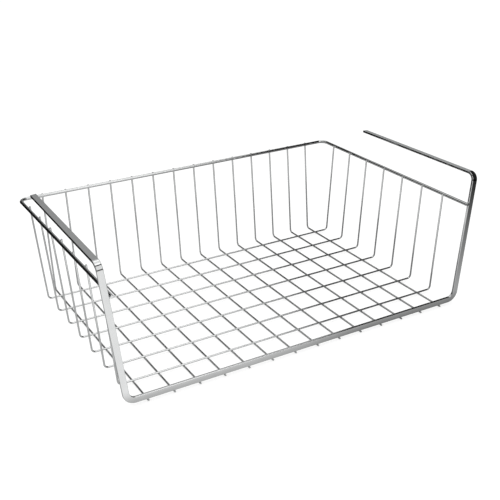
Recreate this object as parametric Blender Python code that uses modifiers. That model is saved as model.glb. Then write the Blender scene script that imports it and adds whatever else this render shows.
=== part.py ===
"""Under-shelf storage basket of bright steel: a flat hanging frame, a rim wire and a welded grid of thin wires.

The front frame is one flat strip. It hooks over a shelf with two arms, drops down both sides of the
front and runs across under the opening. The rim wire closes the basket's top edge on the other three
sides. Depth wires lie under the floor and turn up behind the rear rim. Cross wires lie on them and turn
up inside the side rims. Metres, +Z up, the open front faces -Y, and X = 0 is the plane of symmetry.
"""

import math

import bmesh
import bpy
from mathutils import Vector

# Overall sizes of the basket
OVERALL_WIDTH = 0.400
OVERALL_DEPTH = 0.257
OVERALL_HEIGHT = 0.140
RIM_HEIGHT = 0.1082
ARM_LENGTH = 0.177

# Slopes of the legs, walls and arms
LEG_LEAN = math.radians(6.0)
SIDE_WALL_LEAN = math.radians(4.2)
REAR_WALL_LEAN = math.radians(4.4)
ARM_TOE_IN = math.radians(0.9)

# Flat strip of the front frame
STRIP_WIDTH = 0.0060
STRIP_THICKNESS = 0.0025
STRIP_EDGE_RADIUS = 0.0006
STRIP_TOP_BEND_RADIUS = 0.0070
STRIP_CORNER_RADIUS = 0.0090

# Round wires
RIM_DIAMETER = 0.0034
RIM_CORNER_RADIUS = 0.0080
THIN_DIAMETER = 0.0018
THIN_BEND_RADIUS = 0.0040
RISER_TIP_DROP = 0.0004
RIM_END_OVERHANG = 0.0010
FLOOR_TIP_OVERHANG = 0.0005

# The grid: how many wires, and how far the outermost ones lie from the floor's edges
DEPTH_WIRE_COUNT = 14
DEPTH_WIRE_SIDE_GAP = 0.0144
CROSS_WIRE_COUNT = 7
CROSS_WIRE_FRONT_GAP = 0.0317
CROSS_WIRE_REAR_GAP = 0.0212

# Clearance between pieces that are welded on the real basket
WELD_GAP = 0.0003

# Smoothness of the bends and rounded edges
STRIP_BEND_STEPS = 8
RIM_BEND_STEPS = 8
THIN_BEND_STEPS = 5
EDGE_STEPS = 3
RIM_BEVEL_RESOLUTION = 4
THIN_BEVEL_RESOLUTION = 2
MERGE_DISTANCE = 0.00001

# Chromed steel
CHROME_COLOUR = (0.80, 0.81, 0.82, 1.0)
CHROME_METALLIC = 1.0
CHROME_ROUGHNESS = 0.08

COLLECTION_NAME = "under_shelf_basket"
GUIDE_COLLECTION_NAME = "basket_guides"

# Half sizes of the sections
half_width = STRIP_WIDTH / 2
half_thickness = STRIP_THICKNESS / 2
rim_radius = RIM_DIAMETER / 2
thin_radius = THIN_DIAMETER / 2


def strip_reach(flat, upright, angle):
    """How far the strip's rounded section reaches along a direction that leans by angle from its flat axis."""
    flat_core = flat - STRIP_EDGE_RADIUS
    upright_core = upright - STRIP_EDGE_RADIUS
    return flat_core * math.cos(angle) + upright_core * math.sin(angle) + STRIP_EDGE_RADIUS


# Heights of the centre lines
arm_z = OVERALL_HEIGHT - strip_reach(half_thickness, half_width, LEG_LEAN)
depth_wire_z = thin_radius
cross_wire_z = depth_wire_z + THIN_DIAMETER + WELD_GAP
rail_z = depth_wire_z + thin_radius + WELD_GAP + half_width
riser_tip_z = RIM_HEIGHT + rim_radius - RISER_TIP_DROP

# Depth positions of the centre lines
front_y = -OVERALL_DEPTH / 2
strip_y = front_y + RIM_END_OVERHANG + half_thickness
floor_tip_y = strip_y - half_thickness - FLOOR_TIP_OVERHANG
front_row_y = strip_y + CROSS_WIRE_FRONT_GAP
rear_tip_y = OVERALL_DEPTH / 2 - thin_radius * math.cos(REAR_WALL_LEAN)

# Half width of the frame where the arms meet the legs
arm_x = OVERALL_WIDTH / 2 - strip_reach(half_width, half_thickness, LEG_LEAN)


def leg_x(z, inset=0.0):
    """X of a line that runs parallel to the leaning leg, square inset inwards of the leg's centre line."""
    return arm_x - (arm_z - z) * math.tan(LEG_LEAN) - inset / math.cos(LEG_LEAN)


def rear_y(z, inset=0.0):
    """Y of a line that runs parallel to the leaning rear risers, square inset forwards of their centre line."""
    return rear_tip_y - (riser_tip_z - z) * math.tan(REAR_WALL_LEAN) - inset / math.cos(REAR_WALL_LEAN)


# The rim sits inside the legs' inner edges and in front of the rear risers
weld_reach = rim_radius + WELD_GAP + thin_radius
rim_x = leg_x(RIM_HEIGHT, half_width + WELD_GAP + rim_radius)
rim_rear_y = rear_y(RIM_HEIGHT, weld_reach)


def riser_x(z):
    """X of the centre line of a side riser, which stands inside the rim and leans with the side wall."""
    return rim_x - weld_reach / math.cos(SIDE_WALL_LEAN) - (RIM_HEIGHT - z) * math.tan(SIDE_WALL_LEAN)


# Even spacing between the outermost wires: about 25 mm across and 32 mm in depth
outer_wire_x = riser_x(cross_wire_z) - DEPTH_WIRE_SIDE_GAP
rear_row_y = rear_y(depth_wire_z) - CROSS_WIRE_REAR_GAP
depth_wire_pitch = 2 * outer_wire_x / (DEPTH_WIRE_COUNT - 1)
cross_wire_pitch = (rear_row_y - front_row_y) / (CROSS_WIRE_COUNT - 1)


def arc_steps(before, corner, after, radius, steps):
    """Points of the round bend that replaces a corner between two straight runs."""
    back = (before - corner).normalized()
    ahead = (after - corner).normalized()
    half_angle = back.angle(ahead) / 2
    middle = (back + ahead).normalized()
    centre = corner + middle * (radius / math.sin(half_angle))
    start = corner + back * (radius / math.tan(half_angle)) - centre
    end = corner + ahead * (radius / math.tan(half_angle)) - centre
    turn = start.angle(end)
    points = []
    for step in range(steps + 1):
        along = turn * step / steps
        points.append(centre + (start * math.sin(turn - along) + end * math.sin(along)) / math.sin(turn))
    return points


def bent_path(corners, radii, steps):
    """A centre line through the corners, with each inner corner rounded to its own radius."""
    points = [corners[0]]
    for before, corner, after, radius in zip(corners, corners[1:], corners[2:], radii):
        points.extend(arc_steps(before, corner, after, radius, steps))
    points.append(corners[-1])
    return points


def make_collection(name):
    collection = bpy.data.collections.new(name)
    bpy.context.scene.collection.children.link(collection)
    return collection


def chrome(name):
    """A chromed-steel material for one piece."""
    material = bpy.data.materials.new(name + "_chrome")
    material.use_nodes = True
    shader = material.node_tree.nodes["Principled BSDF"]
    shader.inputs["Base Color"].default_value = CHROME_COLOUR
    shader.inputs["Metallic"].default_value = CHROME_METALLIC
    shader.inputs["Roughness"].default_value = CHROME_ROUGHNESS
    material.diffuse_color = CHROME_COLOUR
    return material


def poly_curve(name, points, cyclic=False, dimensions="3D"):
    """A curve of one straight-segment spline through the points."""
    curve = bpy.data.curves.new(name, "CURVE")
    curve.dimensions = dimensions
    spline = curve.splines.new("POLY")
    spline.points.add(len(points) - 1)
    for spline_point, point in zip(spline.points, points):
        spline_point.co = (point.x, point.y, point.z, 1.0)
    spline.use_cyclic_u = cyclic
    return curve


def round_wire(name, points, diameter, bevel_resolution, collection):
    """A bent round wire with square-cut ends."""
    curve = poly_curve(name, points)
    curve.bevel_depth = diameter / 2
    curve.bevel_resolution = bevel_resolution
    curve.use_fill_caps = True
    curve.materials.append(chrome(name))
    wire = bpy.data.objects.new(name, curve)
    collection.objects.link(wire)
    return wire


def strip_section():
    """Outline of the flat strip's section: thickness along X, width along Y, with rounded edges."""
    core_x = half_thickness - STRIP_EDGE_RADIUS
    core_y = half_width - STRIP_EDGE_RADIUS
    quarter = math.pi / 2
    points = []
    for corner, (side_across, side_along) in enumerate(((1, 1), (-1, 1), (-1, -1), (1, -1))):
        for step in range(EDGE_STEPS + 1):
            angle = quarter * (corner + step / EDGE_STEPS)
            points.append(
                Vector((
                    side_across * core_x + STRIP_EDGE_RADIUS * math.cos(angle),
                    side_along * core_y + STRIP_EDGE_RADIUS * math.sin(angle),
                    0.0,
                ))
            )
    return points


def half_frame_corners():
    """Corners of the frame's right half: middle of the rail, lower corner, top of the leg, rear end of the arm."""
    arm_run = ARM_LENGTH - half_thickness
    return [
        Vector((0.0, strip_y, rail_z)),
        Vector((leg_x(rail_z), strip_y, rail_z)),
        Vector((arm_x, strip_y, arm_z)),
        Vector((
            arm_x - arm_run * math.sin(ARM_TOE_IN),
            strip_y + arm_run * math.cos(ARM_TOE_IN),
            arm_z,
        )),
    ]


def front_frame(collection, guides):
    """The one-piece flat strip: rail, two legs and two hanging arms, swept as a half and mirrored."""
    section = poly_curve("strip_section", strip_section(), cyclic=True, dimensions="2D")
    section.fill_mode = "NONE"
    guide = bpy.data.objects.new("strip_section", section)
    guide.hide_render = True
    guide.display_type = "WIRE"
    guides.objects.link(guide)

    radii = (STRIP_CORNER_RADIUS, STRIP_TOP_BEND_RADIUS)
    path = poly_curve("front_frame_path", bent_path(half_frame_corners(), radii, STRIP_BEND_STEPS))
    path.bevel_mode = "OBJECT"
    path.bevel_object = guide
    path.twist_mode = "MINIMUM"
    swept = bpy.data.objects.new("front_frame_path", path)
    collection.objects.link(swept)
    bpy.context.view_layer.update()
    graph = bpy.context.evaluated_depsgraph_get()
    mesh = bpy.data.meshes.new_from_object(swept.evaluated_get(graph))
    bpy.data.objects.remove(swept)
    mesh.name = "front_frame"

    work = bmesh.new()
    work.from_mesh(mesh)
    bmesh.ops.remove_doubles(work, verts=work.verts, dist=MERGE_DISTANCE)
    arm_end = [edge for edge in work.edges if edge.is_boundary and edge.verts[0].co.x > STRIP_WIDTH]
    bmesh.ops.contextual_create(work, geom=arm_end)
    bmesh.ops.recalc_face_normals(work, faces=work.faces)
    work.to_mesh(mesh)
    work.free()
    mesh.materials.clear()
    mesh.materials.append(chrome("front_frame"))

    frame = bpy.data.objects.new("front_frame", mesh)
    collection.objects.link(frame)
    mirror = frame.modifiers.new("other_half", "MIRROR")
    mirror.use_axis = (True, False, False)
    mirror.use_clip = True
    mirror.merge_threshold = MERGE_DISTANCE
    return frame


def rim_wire(collection):
    """The rim: from one leg along the side, across the rear and forward to the other leg."""
    corners = [
        Vector((-rim_x, front_y, RIM_HEIGHT)),
        Vector((-rim_x, rim_rear_y, RIM_HEIGHT)),
        Vector((rim_x, rim_rear_y, RIM_HEIGHT)),
        Vector((rim_x, front_y, RIM_HEIGHT)),
    ]
    radii = (RIM_CORNER_RADIUS, RIM_CORNER_RADIUS)
    path = bent_path(corners, radii, RIM_BEND_STEPS)
    return round_wire("rim_wire", path, RIM_DIAMETER, RIM_BEVEL_RESOLUTION, collection)


def depth_wire(number, x, collection):
    """One L-shaped wire: under the rail, back along the floor and up behind the rear rim."""
    corners = [
        Vector((x, floor_tip_y, depth_wire_z)),
        Vector((x, rear_y(depth_wire_z), depth_wire_z)),
        Vector((x, rear_tip_y, riser_tip_z)),
    ]
    path = bent_path(corners, (THIN_BEND_RADIUS,), THIN_BEND_STEPS)
    name = f"depth_wire_{number:02d}"
    return round_wire(name, path, THIN_DIAMETER, THIN_BEVEL_RESOLUTION, collection)


def cross_wire(number, y, collection):
    """One U-shaped wire: down inside one side rim, across on top of the depth wires and up the other side."""
    floor_x = riser_x(cross_wire_z)
    tip_x = riser_x(riser_tip_z)
    corners = [
        Vector((-tip_x, y, riser_tip_z)),
        Vector((-floor_x, y, cross_wire_z)),
        Vector((floor_x, y, cross_wire_z)),
        Vector((tip_x, y, riser_tip_z)),
    ]
    path = bent_path(corners, (THIN_BEND_RADIUS, THIN_BEND_RADIUS), THIN_BEND_STEPS)
    name = f"cross_wire_{number:02d}"
    return round_wire(name, path, THIN_DIAMETER, THIN_BEVEL_RESOLUTION, collection)


def main():
    for thing in list(bpy.data.objects):
        bpy.data.objects.remove(thing)
    basket = make_collection(COLLECTION_NAME)
    guides = make_collection(GUIDE_COLLECTION_NAME)

    front_frame(basket, guides)
    rim_wire(basket)
    for index in range(DEPTH_WIRE_COUNT):
        depth_wire(index + 1, index * depth_wire_pitch - outer_wire_x, basket)
    for index in range(CROSS_WIRE_COUNT):
        cross_wire(index + 1, front_row_y + index * cross_wire_pitch, basket)


main()
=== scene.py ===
"""Looks of the under-shelf basket: bright chrome on rounded strip and wire, fused welds, and a plain studio.

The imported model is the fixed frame. Each of its nodes is replaced by a finer piece on the same centre line:
the flat hanging frame, the rim wire, and the thin wires of the grid with their cropped ends. Every place
where two of them touch gets a small fused weld. Metres, +Z up, the open front faces -Y.
"""

import math

import bmesh
import bpy
from mathutils import Matrix, Vector
from mathutils.geometry import intersect_line_line


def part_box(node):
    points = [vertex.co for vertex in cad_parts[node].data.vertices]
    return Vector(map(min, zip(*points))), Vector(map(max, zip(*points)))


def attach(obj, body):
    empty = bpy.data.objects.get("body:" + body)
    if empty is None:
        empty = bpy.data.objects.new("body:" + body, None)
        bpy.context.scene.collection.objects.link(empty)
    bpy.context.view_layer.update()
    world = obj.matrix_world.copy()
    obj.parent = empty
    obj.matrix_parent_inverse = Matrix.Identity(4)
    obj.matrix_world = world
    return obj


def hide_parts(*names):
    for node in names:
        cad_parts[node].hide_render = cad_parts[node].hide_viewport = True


# Flat strip of the front frame
STRIP_WIDTH = 0.0060
STRIP_THICKNESS = 0.0025
STRIP_EDGE_RADIUS = 0.0006
STRIP_END_RADIUS = 0.0005
STRIP_TOP_BEND_RADIUS = 0.0070
STRIP_CORNER_RADIUS = 0.0090
LEG_LEAN = math.radians(6.0)
ARM_TOE_IN = math.radians(0.9)

# Round wires
RIM_DIAMETER = 0.0034
RIM_CORNER_RADIUS = 0.0080
RIM_END_RADIUS = 0.0005
THIN_DIAMETER = 0.0018
THIN_BEND_RADIUS = 0.0040
THIN_END_RADIUS = 0.00035
SIDE_WALL_LEAN = math.radians(4.2)
REAR_WALL_LEAN = math.radians(4.4)
DEPTH_WIRE_COUNT = 14
CROSS_WIRE_COUNT = 7

# Welds: how far the fused metal spreads, its waist's share of that, and how deep it roots in each piece
WELD_REACH = 0.00070
RIM_END_WELD_REACH = 0.00100
WELD_WAIST_SHARE = 0.74
WELD_ROOT = 0.00012

# Fineness of the meshes
BEND_STEPS = 14
EDGE_STEPS = 6
END_STEPS = 3
RIM_SIDES = 28
THIN_SIDES = 18
WELD_SIDES = 12
SHARP_ANGLE = math.radians(50)

# Camera: the image is 500 by 500
SENSOR_WIDTH_MM = 36.0
CAMERA_LENS_MM = 62.52
CAMERA_PLACE = Vector((-0.3981, -0.7181, 0.4264))
CAMERA_AZIMUTH = math.radians(-29.73)
CAMERA_DOWN = math.radians(24.37)
CAMERA_ROLL = math.radians(-0.88)

half_width = STRIP_WIDTH / 2
half_thickness = STRIP_THICKNESS / 2
rim_radius = RIM_DIAMETER / 2
thin_radius = THIN_DIAMETER / 2

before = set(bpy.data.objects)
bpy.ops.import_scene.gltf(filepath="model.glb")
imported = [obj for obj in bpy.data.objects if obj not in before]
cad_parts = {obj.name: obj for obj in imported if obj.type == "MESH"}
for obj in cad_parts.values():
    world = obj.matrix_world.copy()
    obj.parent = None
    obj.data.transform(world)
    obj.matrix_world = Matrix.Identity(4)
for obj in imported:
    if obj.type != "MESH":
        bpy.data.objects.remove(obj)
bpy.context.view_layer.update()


# Centre lines, worked out from the frame


def strip_reach(flat, upright, angle):
    """How far the strip's rounded section reaches along a direction that leans from its flat axis."""
    flat_core = flat - STRIP_EDGE_RADIUS
    upright_core = upright - STRIP_EDGE_RADIUS
    return flat_core * math.cos(angle) + upright_core * math.sin(angle) + STRIP_EDGE_RADIUS


def arc_steps(before, corner, after, radius, steps):
    """Points of the round bend that replaces a corner between two straight runs."""
    back = (before - corner).normalized()
    ahead = (after - corner).normalized()
    half_angle = back.angle(ahead) / 2
    middle = (back + ahead).normalized()
    centre = corner + middle * (radius / math.sin(half_angle))
    start = corner + back * (radius / math.tan(half_angle)) - centre
    end = corner + ahead * (radius / math.tan(half_angle)) - centre
    turn = start.angle(end)
    points = []
    for step in range(steps + 1):
        along = turn * step / steps
        points.append(centre + (start * math.sin(turn - along) + end * math.sin(along)) / math.sin(turn))
    return points


def bent_path(corners, radii):
    """A centre line through the corners, with each inner corner rounded to its own radius."""
    points = [corners[0]]
    for before, corner, after, radius in zip(corners, corners[1:], corners[2:], radii):
        points.extend(arc_steps(before, corner, after, radius, BEND_STEPS))
    points.append(corners[-1])
    return points


def mirrored(point):
    return Vector((-point.x, point.y, point.z))


def frame_corners():
    """Corners of the strip from the left arm's rear end, across under the front, to the right arm's."""
    low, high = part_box("front_frame")
    arm_x = high.x - strip_reach(half_width, half_thickness, LEG_LEAN)
    arm_z = high.z - strip_reach(half_thickness, half_width, LEG_LEAN)
    strip_y = low.y + half_thickness
    rail_z = low.z + half_width
    arm_run = high.y - strip_y - half_width * math.sin(ARM_TOE_IN)
    half = [
        Vector((arm_x - arm_run * math.tan(ARM_TOE_IN), strip_y + arm_run, arm_z)),
        Vector((arm_x, strip_y, arm_z)),
        Vector((arm_x - (arm_z - rail_z) * math.tan(LEG_LEAN), strip_y, rail_z)),
    ]
    return [mirrored(point) for point in half] + half[::-1]


def rim_corners():
    low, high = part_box("rim_wire")
    side = high.x - rim_radius
    rear = high.y - rim_radius
    height = (low.z + high.z) / 2
    return [
        Vector((-side, low.y, height)),
        Vector((-side, rear, height)),
        Vector((side, rear, height)),
        Vector((side, low.y, height)),
    ]


def depth_wire_corners(node):
    """Front tip, floor bend and rear tip of one L-shaped wire."""
    low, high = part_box(node)
    x = (low.x + high.x) / 2
    floor_z = low.z + thin_radius
    tip_y = high.y - thin_radius * math.cos(REAR_WALL_LEAN)
    tip_z = high.z - thin_radius * math.sin(REAR_WALL_LEAN)
    bend_y = tip_y - (tip_z - floor_z) * math.tan(REAR_WALL_LEAN)
    return [Vector((x, low.y, floor_z)), Vector((x, bend_y, floor_z)), Vector((x, tip_y, tip_z))]


def cross_wire_corners(node):
    """Left tip, both floor bends and right tip of one U-shaped wire."""
    low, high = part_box(node)
    y = (low.y + high.y) / 2
    floor_z = low.z + thin_radius
    tip_x = high.x - thin_radius * math.cos(SIDE_WALL_LEAN)
    tip_z = high.z - thin_radius * math.sin(SIDE_WALL_LEAN)
    bend_x = tip_x - (tip_z - floor_z) * math.tan(SIDE_WALL_LEAN)
    half = [Vector((tip_x, y, tip_z)), Vector((bend_x, y, floor_z))]
    return [mirrored(point) for point in half] + half[::-1]


# Meshes


def round_section(radius, sides):
    """Section of a round wire: for each point its core, its outward direction and the rounding radius."""
    turns = [2 * math.pi * side / sides for side in range(sides)]
    return [(Vector((0, 0)), Vector((math.cos(turn), math.sin(turn))), radius) for turn in turns]


def strip_section():
    """Section of the flat strip, thickness along its first axis and width along its second."""
    core_x = half_thickness - STRIP_EDGE_RADIUS
    core_y = half_width - STRIP_EDGE_RADIUS
    points = []
    for corner, (side_across, side_along) in enumerate(((1, 1), (-1, 1), (-1, -1), (1, -1))):
        core = Vector((side_across * core_x, side_along * core_y))
        for step in range(EDGE_STEPS + 1):
            turn = math.pi / 2 * (corner + step / EDGE_STEPS)
            points.append((core, Vector((math.cos(turn), math.sin(turn))), STRIP_EDGE_RADIUS))
    return points


def softened_stations(path, end_radius):
    """The path's points with how far the section is inset at each, so that both ends get a rounded edge."""
    ahead = (path[1] - path[0]).normalized()
    back = (path[-2] - path[-1]).normalized()
    start, end = [], []
    for step in range(END_STEPS + 1):
        turn = math.pi / 2 * step / END_STEPS
        along = end_radius * (1 - math.cos(turn))
        inset = end_radius * (1 - math.sin(turn))
        start.append((path[0] + ahead * along, inset))
        end.append((path[-1] + back * along, inset))
    return start + [(point, 0.0) for point in path[1:-1]] + end[::-1]


def sweep(path, section, across, end_radius):
    """A closed mesh of the section carried along the path; across is its first axis at the start."""
    stations = softened_stations(path, end_radius)
    points = [point for point, inset in stations]
    directions = [(b - a).normalized() for a, b in zip(points, points[1:])]
    tangents = [directions[0]]
    tangents += [(a + b).normalized() for a, b in zip(directions, directions[1:])]
    tangents.append(directions[-1])

    work = bmesh.new()
    rings = []
    side = across
    for (centre, inset), tangent, previous in zip(stations, tangents, [tangents[0]] + tangents):
        side = previous.rotation_difference(tangent) @ side
        side = (side - tangent * side.dot(tangent)).normalized()
        other = tangent.cross(side)
        ring = []
        for core, outward, radius in section:
            flat = core + outward * (radius - inset)
            ring.append(work.verts.new(centre + side * flat.x + other * flat.y))
        rings.append(ring)
    for ring, following in zip(rings, rings[1:]):
        for index in range(len(section)):
            after = (index + 1) % len(section)
            work.faces.new((ring[index], ring[after], following[after], following[index]))
    work.faces.new(rings[0][::-1])
    work.faces.new(rings[-1])
    return work


def round_run(start, end, radius):
    """A straight round run as add_weld takes it: a point, the axis, the radius and the surface's height."""
    return start, (end - start).normalized(), radius, radius


def flat_run(start, end, height):
    """A straight flat run as add_weld takes it, with no radius."""
    return start, (end - start).normalized(), 0.0, height


def add_weld(work, first, second, reach):
    """Fused metal between two runs where they pass closest."""
    first_point, first_axis, first_radius, first_height = first
    second_point, second_axis, second_radius, second_height = second
    base, top = intersect_line_line(
        first_point, first_point + first_axis, second_point, second_point + second_axis
    )
    up = (top - base).normalized()
    side = up.orthogonal().normalized()
    other = up.cross(side)

    def surface(axis, radius, height, offset):
        """How far a run's surface is from its axis, towards the other run, at a sideways offset."""
        if not radius:
            return height
        sideways = offset.dot(up.cross(axis).normalized())
        return math.sqrt(max(radius * radius - sideways * sideways, 0.0))

    # Spread of each ring, its share of the way between the surfaces, and how far past it the ring lies
    waist = reach * WELD_WAIST_SHARE
    stations = (
        (waist, 0.0, -WELD_ROOT),
        (reach, 0.0, 0.0),
        (waist, 0.5, 0.0),
        (reach, 1.0, 0.0),
        (waist, 1.0, WELD_ROOT),
    )
    rings = []
    for spread, share, sunk in stations:
        ring = []
        for index in range(WELD_SIDES):
            turn = 2 * math.pi * index / WELD_SIDES
            offset = (side * math.cos(turn) + other * math.sin(turn)) * spread
            lower = base + offset + up * surface(first_axis, first_radius, first_height, offset)
            upper = top + offset - up * surface(second_axis, second_radius, second_height, offset)
            ring.append(work.verts.new(lower.lerp(upper, share) + up * sunk))
        rings.append(ring)
    for ring, following in zip(rings, rings[1:]):
        for index in range(WELD_SIDES):
            after = (index + 1) % WELD_SIDES
            work.faces.new((ring[index], ring[after], following[after], following[index]))
    work.faces.new(rings[0][::-1])
    work.faces.new(rings[-1])


def piece(name, work, material, replaced=()):
    """Turns the mesh into a piece that rides on the basket's one body."""
    bmesh.ops.recalc_face_normals(work, faces=work.faces)
    mesh = bpy.data.meshes.new(name)
    work.to_mesh(mesh)
    work.free()
    for polygon in mesh.polygons:
        polygon.use_smooth = True
    mesh.set_sharp_from_angle(angle=SHARP_ANGLE)
    mesh.materials.append(material)
    made = bpy.data.objects.new(name, mesh)
    bpy.context.scene.collection.objects.link(made)
    weighted = made.modifiers.new("flat_faces_stay_flat", "WEIGHTED_NORMAL")
    weighted.keep_sharp = True
    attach(made, "root")
    if replaced:
        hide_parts(*replaced)


# Materials

# Colours of the plating where its clouds are thin and thick, and its tint at grazing angles
PLATING = ((0.80, 0.81, 0.81, 1.0), (0.89, 0.90, 0.90, 1.0))
WELD_PLATING = ((0.62, 0.63, 0.63, 1.0), (0.82, 0.83, 0.83, 1.0))
GRAZING_TINT = (0.55, 0.56, 0.56, 1.0)

# Roughness of the plating where its clouds are thin and thick
STRIP_ROUGHNESS = (0.05, 0.09)
RIM_ROUGHNESS = (0.04, 0.08)
WIRE_ROUGHNESS = (0.05, 0.10)
WELD_ROUGHNESS = (0.16, 0.30)

# Scale of the clouds per metre, and height of the ripple, whose waves are longer than the clouds
STRIP_CLOUDS = 160
RIM_CLOUDS = 160
WIRE_CLOUDS = 200
WELD_CLOUDS = 900
STRIP_RIPPLE = 0.000015
WIRE_RIPPLE = 0.00001
WELD_RIPPLE = 0.00003
RIPPLES_PER_CLOUD = 0.4
CLOUD_DETAIL = 4.0
RIPPLE_DETAIL = 1.0
CLOUD_CONTRAST = (0.3, 0.7)

# Settings of a Map Range node, in the order in which ranges and fades are given
RANGE_SOCKETS = ("From Min", "From Max", "To Min", "To Max")

# Sockets of a Mix node that blends colours: share, first and second colour, and the result
MIX_SHARE = 0
MIX_FIRST = 6
MIX_SECOND = 7
MIX_RESULT = 2


def chrome(name, colours, roughness, clouds_per_metre, ripple_height):
    """Bright chrome plating with faint clouding, uneven polish and a slight ripple."""
    material = bpy.data.materials.new(name)
    material.use_nodes = True
    nodes = material.node_tree.nodes
    links = material.node_tree.links
    shader = nodes["Principled BSDF"]
    shader.inputs["Metallic"].default_value = 1.0
    shader.inputs["Specular Tint"].default_value = GRAZING_TINT
    place = nodes.new("ShaderNodeTexCoord").outputs["Object"]

    clouds = nodes.new("ShaderNodeTexNoise")
    clouds.inputs["Scale"].default_value = clouds_per_metre
    clouds.inputs["Detail"].default_value = CLOUD_DETAIL
    links.new(place, clouds.inputs["Vector"])

    tone = nodes.new("ShaderNodeMix")
    tone.data_type = "RGBA"
    thin, thick = colours
    tone.inputs[MIX_FIRST].default_value = thin
    tone.inputs[MIX_SECOND].default_value = thick
    links.new(clouds.outputs["Fac"], tone.inputs[MIX_SHARE])
    links.new(tone.outputs[MIX_RESULT], shader.inputs["Base Color"])

    polish = nodes.new("ShaderNodeMapRange")
    for setting, value in zip(RANGE_SOCKETS, CLOUD_CONTRAST + roughness):
        polish.inputs[setting].default_value = value
    links.new(clouds.outputs["Fac"], polish.inputs["Value"])
    links.new(polish.outputs["Result"], shader.inputs["Roughness"])

    ripple = nodes.new("ShaderNodeTexNoise")
    ripple.inputs["Scale"].default_value = clouds_per_metre * RIPPLES_PER_CLOUD
    ripple.inputs["Detail"].default_value = RIPPLE_DETAIL
    links.new(place, ripple.inputs["Vector"])
    relief = nodes.new("ShaderNodeBump")
    relief.inputs["Strength"].default_value = 1.0
    relief.inputs["Distance"].default_value = ripple_height
    links.new(ripple.outputs["Fac"], relief.inputs["Height"])
    links.new(relief.outputs["Normal"], shader.inputs["Normal"])
    return material


strip_chrome = chrome("strip_chrome", PLATING, STRIP_ROUGHNESS, STRIP_CLOUDS, STRIP_RIPPLE)
rim_chrome = chrome("rim_chrome", PLATING, RIM_ROUGHNESS, RIM_CLOUDS, WIRE_RIPPLE)
wire_chrome = chrome("wire_chrome", PLATING, WIRE_ROUGHNESS, WIRE_CLOUDS, WIRE_RIPPLE)
weld_chrome = chrome("weld_chrome", WELD_PLATING, WELD_ROUGHNESS, WELD_CLOUDS, WELD_RIPPLE)


# The basket

UP = Vector((0, 0, 1))
ALONG = Vector((0, 1, 0))

strip_path = bent_path(
    frame_corners(),
    (STRIP_TOP_BEND_RADIUS, STRIP_CORNER_RADIUS, STRIP_CORNER_RADIUS, STRIP_TOP_BEND_RADIUS),
)


def strip_side(path):
    """Direction of the strip's thickness at the path's start, so that the rail faces straight forward."""
    side = ALONG
    tangents = [(b - a).normalized() for a, b in zip(path, path[1:])]
    middle = len(tangents) // 2
    for tangent, previous in zip(tangents[middle - 1::-1], tangents[middle:0:-1]):
        side = previous.rotation_difference(tangent) @ side
    return side


piece(
    "front_frame_strip",
    sweep(strip_path, strip_section(), strip_side(strip_path), STRIP_END_RADIUS),
    strip_chrome,
    ["front_frame"],
)

rim_path_corners = rim_corners()
piece(
    "rim_round_wire",
    sweep(
        bent_path(rim_path_corners, (RIM_CORNER_RADIUS, RIM_CORNER_RADIUS)),
        round_section(rim_radius, RIM_SIDES),
        UP,
        RIM_END_RADIUS,
    ),
    rim_chrome,
    ["rim_wire"],
)

depth_nodes = [f"depth_wire_{number:02d}" for number in range(1, DEPTH_WIRE_COUNT + 1)]
cross_nodes = [f"cross_wire_{number:02d}" for number in range(1, CROSS_WIRE_COUNT + 1)]
depth_lines = [depth_wire_corners(node) for node in depth_nodes]
cross_lines = [cross_wire_corners(node) for node in cross_nodes]

for node, corners in zip(depth_nodes, depth_lines):
    path = bent_path(corners, (THIN_BEND_RADIUS,))
    work = sweep(path, round_section(thin_radius, THIN_SIDES), UP, THIN_END_RADIUS)
    piece(node + "_plated", work, wire_chrome, [node])

for node, corners in zip(cross_nodes, cross_lines):
    path = bent_path(corners, (THIN_BEND_RADIUS, THIN_BEND_RADIUS))
    work = sweep(path, round_section(thin_radius, THIN_SIDES), ALONG, THIN_END_RADIUS)
    piece(node + "_plated", work, wire_chrome, [node])

rim_left, rim_rear_left, rim_rear_right, rim_right = rim_path_corners
left_run = round_run(rim_left, rim_rear_left, rim_radius)
rear_run = round_run(rim_rear_left, rim_rear_right, rim_radius)
right_run = round_run(rim_rear_right, rim_right, rim_radius)

for number, (left_tip, left_bend, right_bend, right_tip) in enumerate(cross_lines, 1):
    work = bmesh.new()
    floor_run = round_run(left_bend, right_bend, thin_radius)
    for front_tip, rear_bend, rear_tip in depth_lines:
        add_weld(work, round_run(front_tip, rear_bend, thin_radius), floor_run, WELD_REACH)
    add_weld(work, round_run(left_bend, left_tip, thin_radius), left_run, WELD_REACH)
    add_weld(work, round_run(right_bend, right_tip, thin_radius), right_run, WELD_REACH)
    piece(f"cross_wire_{number:02d}_welds", work, weld_chrome)

work = bmesh.new()
for front_tip, rear_bend, rear_tip in depth_lines:
    add_weld(work, rear_run, round_run(rear_bend, rear_tip, thin_radius), WELD_REACH)
piece("rear_rim_welds", work, weld_chrome)

left_top, left_corner, right_corner, right_top = frame_corners()[1:-1]
rail = flat_run(left_corner, right_corner, half_width)
work = bmesh.new()
for front_tip, rear_bend, rear_tip in depth_lines:
    add_weld(work, round_run(front_tip, rear_bend, thin_radius), rail, WELD_REACH)
piece("rail_welds", work, weld_chrome)

work = bmesh.new()
for rim_run, top, corner in ((left_run, left_top, left_corner), (right_run, right_top, right_corner)):
    add_weld(work, rim_run, flat_run(corner, top, half_width), RIM_END_WELD_REACH)
piece("rim_end_welds", work, weld_chrome)


# The studio: a white table and, for mirrors alone, softboxes and panels around it

FLOOR_SIZE = 12.0
STUDIO_RADIUS = 3.0
PANEL_STEPS = 12
WHITE = (1.0, 1.0, 1.0, 1.0)

# The table is grey, and its glow lifts it to white, so that the basket's shadow on it stays faint
TABLE_COLOUR = (0.44, 0.44, 0.44, 1.0)
TABLE_GLOW = 0.68

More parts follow.
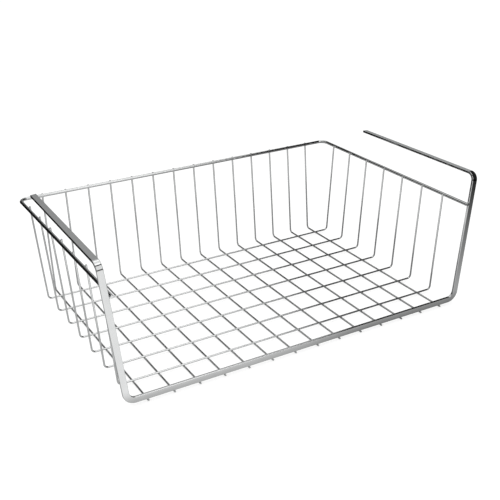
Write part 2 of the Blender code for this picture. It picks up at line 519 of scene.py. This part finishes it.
# Brightness around the basket as the camera, the table and mirrors see it, and the lamp overhead
SHOWN_ROOM = 1.0
ROOM_LIGHT = 0.8
MIRRORED_ROOM = 0.015
LAMP_SIDE = 1.6
LAMP_POWER = 5.0
LAMP_PLACE = (-0.4, 0.2, 1.4)

# Panels: name, azimuths from the rear towards the right, heights over the table, brightness; in degrees
PANELS = (
    ("front_right_softbox", (149, 166), (8, 49), 1.20),
    ("front_panel", (166, 184), (8, 49), 0.80),
    ("front_left_panel", (184, 234), (8, 49), 0.25),
    ("left_wall", (235, 302), (0, 58), 0.22),
    ("rear_left_panel", (303, 330), (33, 50), 0.40),
    ("high_rear_panel", (330, 415), (41, 59), 0.62),
    ("rear_right_wall", (0, 39), (23, 38), 0.38),
    ("rear_right_backdrop", (-13, 55), (0, 17), 0.55),
    ("overhead_left_softbox", (180, 360), (60, 78), 0.42),
    ("overhead_right_softbox", (0, 180), (60, 78), 1.18),
    ("overhead_panel", (0, 360), (78, 90), 0.85),
)

# The table as mirrors see it: painted light and shade in four zones from front to rear, with a painted shadow
# of the basket in the zone under it; each fade is from, to, value there and there
FRONT_FADE_RIGHT = (-0.16, 0.53, 0.87, 0.0)
FRONT_FADE_LEFT = (-0.50, -0.31, 0.20, 1.0)
FRONT_EDGE = (-1.8, -1.2, 0.0, 1.0)
PAINTED_SHADE_UNDER_BASKET = (-0.06, 0.09, 0.46, 0.20)
MIDDLE_RISE = (-0.20, -0.12, 0.04, 0.62)
MIDDLE_FALL = (0.02, 0.235, 1.0, 0.05)
REAR_RISE = (-0.09, 0.20, 0.0, 1.35)
FRONT_TO_UNDER = (-0.152, -0.128, 0.0, 1.0)
UNDER_TO_MIDDLE = (0.088, 0.16, 0.0, 1.0)
MIDDLE_TO_REAR = (0.32, 0.37, 0.0, 1.0)


def ray_kind(nodes, kind):
    return nodes.new("ShaderNodeLightPath").outputs[kind]


def stage_material(name):
    material = bpy.data.materials.new(name)
    material.use_nodes = True
    material.node_tree.nodes.clear()
    return material, material.node_tree.nodes, material.node_tree.links


def ramp(nodes, links, value, fade):
    """A smooth clamped ramp of one value."""
    node = nodes.new("ShaderNodeMapRange")
    node.interpolation_type = "SMOOTHSTEP"
    for setting, number in zip(RANGE_SOCKETS, fade):
        node.inputs[setting].default_value = number
    links.new(value, node.inputs["Value"])
    return node.outputs["Result"]


def times(nodes, links, first, second):
    node = nodes.new("ShaderNodeMath")
    node.operation = "MULTIPLY"
    links.new(first, node.inputs[0])
    links.new(second, node.inputs[1])
    return node.outputs["Value"]


def blended(nodes, links, share, first, second):
    node = nodes.new("ShaderNodeMix")
    links.new(share, node.inputs["Factor"])
    links.new(first, node.inputs["A"])
    links.new(second, node.inputs["B"])
    return node.outputs["Result"]


def mirrored_table(nodes, links):
    """Painted brightness of the table in a mirror: brightest at the front left and the rear right, with a
    painted shadow under the basket.
    """
    place = nodes.new("ShaderNodeSeparateXYZ")
    links.new(nodes.new("ShaderNodeTexCoord").outputs["Object"], place.inputs["Vector"])
    x, y = place.outputs["X"], place.outputs["Y"]

    front = ramp(nodes, links, x, FRONT_FADE_RIGHT)
    for value, fade in ((x, FRONT_FADE_LEFT), (y, FRONT_EDGE)):
        front = times(nodes, links, front, ramp(nodes, links, value, fade))
    # Painted shadow of the basket on the table, seen only in mirrors, darker towards the right
    under_shade = ramp(nodes, links, x, PAINTED_SHADE_UNDER_BASKET)
    middle = times(nodes, links, ramp(nodes, links, x, MIDDLE_RISE), ramp(nodes, links, x, MIDDLE_FALL))
    rear = ramp(nodes, links, x, REAR_RISE)

    tone = front
    for fade, zone in ((FRONT_TO_UNDER, under_shade), (UNDER_TO_MIDDLE, middle), (MIDDLE_TO_REAR, rear)):
        tone = blended(nodes, links, ramp(nodes, links, y, fade), tone, zone)
    return tone


def floor_material():
    """White for the camera, with the basket's shadow, and as mirrored_table says for mirrors."""
    material, nodes, links = stage_material("table")
    seen = nodes.new("ShaderNodeEmission")
    links.new(mirrored_table(nodes, links), seen.inputs["Strength"])

    lit = nodes.new("ShaderNodeBsdfDiffuse")
    lit.inputs["Color"].default_value = TABLE_COLOUR
    glow = nodes.new("ShaderNodeEmission")
    glow.inputs["Strength"].default_value = TABLE_GLOW
    plain = nodes.new("ShaderNodeAddShader")
    links.new(lit.outputs["BSDF"], plain.inputs[0])
    links.new(glow.outputs["Emission"], plain.inputs[1])

    choice = nodes.new("ShaderNodeMixShader")
    links.new(ray_kind(nodes, "Is Glossy Ray"), choice.inputs["Fac"])
    links.new(plain.outputs["Shader"], choice.inputs[1])
    links.new(seen.outputs["Emission"], choice.inputs[2])
    output = nodes.new("ShaderNodeOutputMaterial")
    links.new(choice.outputs["Shader"], output.inputs["Surface"])
    return material


def stage_mesh(name, points, faces, material):
    mesh = bpy.data.meshes.new(name)
    mesh.from_pydata(points, [], faces)
    mesh.materials.append(material)
    made = bpy.data.objects.new(name, mesh)
    bpy.context.scene.collection.objects.link(made)
    return made


def panel(name, azimuths, heights, brightness):
    """A curved panel of the studio that only mirrors see."""
    material, nodes, links = stage_material(name)
    glow = nodes.new("ShaderNodeEmission")
    glow.inputs["Strength"].default_value = brightness
    output = nodes.new("ShaderNodeOutputMaterial")
    links.new(glow.outputs["Emission"], output.inputs["Surface"])

    points, faces = [], []
    for row in range(PANEL_STEPS + 1):
        height = math.radians(heights[0] + (heights[1] - heights[0]) * row / PANEL_STEPS)
        for column in range(PANEL_STEPS + 1):
            azimuth = math.radians(azimuths[0] + (azimuths[1] - azimuths[0]) * column / PANEL_STEPS)
            level = STUDIO_RADIUS * math.cos(height)
            above = STUDIO_RADIUS * math.sin(height)
            points.append((level * math.sin(azimuth), level * math.cos(azimuth), above))
    for row in range(PANEL_STEPS):
        for column in range(PANEL_STEPS):
            first = row * (PANEL_STEPS + 1) + column
            upper = first + PANEL_STEPS + 1
            faces.append((first, first + 1, upper + 1, upper))
    made = stage_mesh(name, points, faces, material)
    made.visible_camera = False
    made.visible_diffuse = False
    made.visible_shadow = False


half_floor = FLOOR_SIZE / 2
floor_corners = [(x * half_floor, y * half_floor, 0) for x, y in ((-1, -1), (1, -1), (1, 1), (-1, 1))]
stage_mesh("table", floor_corners, [(0, 1, 2, 3)], floor_material())
for name, azimuths, heights, brightness in PANELS:
    panel(name, azimuths, heights, brightness)


def studio_world():
    """White for the camera and through glass, soft light for the table, and a dark room for mirrors."""
    world = bpy.data.worlds.new("studio")
    world.use_nodes = True
    nodes, links = world.node_tree.nodes, world.node_tree.links
    nodes.clear()

    def background(strength):
        node = nodes.new("ShaderNodeBackground")
        node.inputs["Color"].default_value = WHITE
        node.inputs["Strength"].default_value = strength
        return node.outputs["Background"]

    glossy = nodes.new("ShaderNodeMixShader")
    links.new(ray_kind(nodes, "Is Glossy Ray"), glossy.inputs["Fac"])
    links.new(background(ROOM_LIGHT), glossy.inputs[1])
    links.new(background(MIRRORED_ROOM), glossy.inputs[2])
    straight = nodes.new("ShaderNodeMath")
    straight.operation = "MAXIMUM"
    links.new(ray_kind(nodes, "Is Camera Ray"), straight.inputs[0])
    links.new(ray_kind(nodes, "Is Transmission Ray"), straight.inputs[1])
    shown = nodes.new("ShaderNodeMixShader")
    links.new(straight.outputs["Value"], shown.inputs["Fac"])
    links.new(glossy.outputs["Shader"], shown.inputs[1])
    links.new(background(SHOWN_ROOM), shown.inputs[2])
    output = nodes.new("ShaderNodeOutputWorld")
    links.new(shown.outputs["Shader"], output.inputs["Surface"])
    bpy.context.scene.world = world


studio_world()

lamp_data = bpy.data.lights.new("overhead_lamp", "AREA")
lamp_data.shape = "RECTANGLE"
lamp_data.size = LAMP_SIDE
lamp_data.size_y = LAMP_SIDE
lamp_data.energy = LAMP_POWER
lamp = bpy.data.objects.new("overhead_lamp", lamp_data)
lamp.location = LAMP_PLACE
lamp.visible_glossy = False
bpy.context.scene.collection.objects.link(lamp)

camera_data = bpy.data.cameras.new("camera")
camera_data.sensor_width = SENSOR_WIDTH_MM
camera_data.lens = CAMERA_LENS_MM
camera = bpy.data.objects.new("camera", camera_data)
turn = Matrix.Rotation(CAMERA_AZIMUTH, 4, "Z")
tilt = Matrix.Rotation(math.pi / 2 - CAMERA_DOWN, 4, "X")
roll = Matrix.Rotation(CAMERA_ROLL, 4, "Z")
camera.matrix_world = Matrix.Translation(CAMERA_PLACE) @ turn @ tilt @ roll
bpy.context.scene.collection.objects.link(camera)
bpy.context.scene.camera = camera

bpy.context.scene.view_settings.view_transform = "Standard"
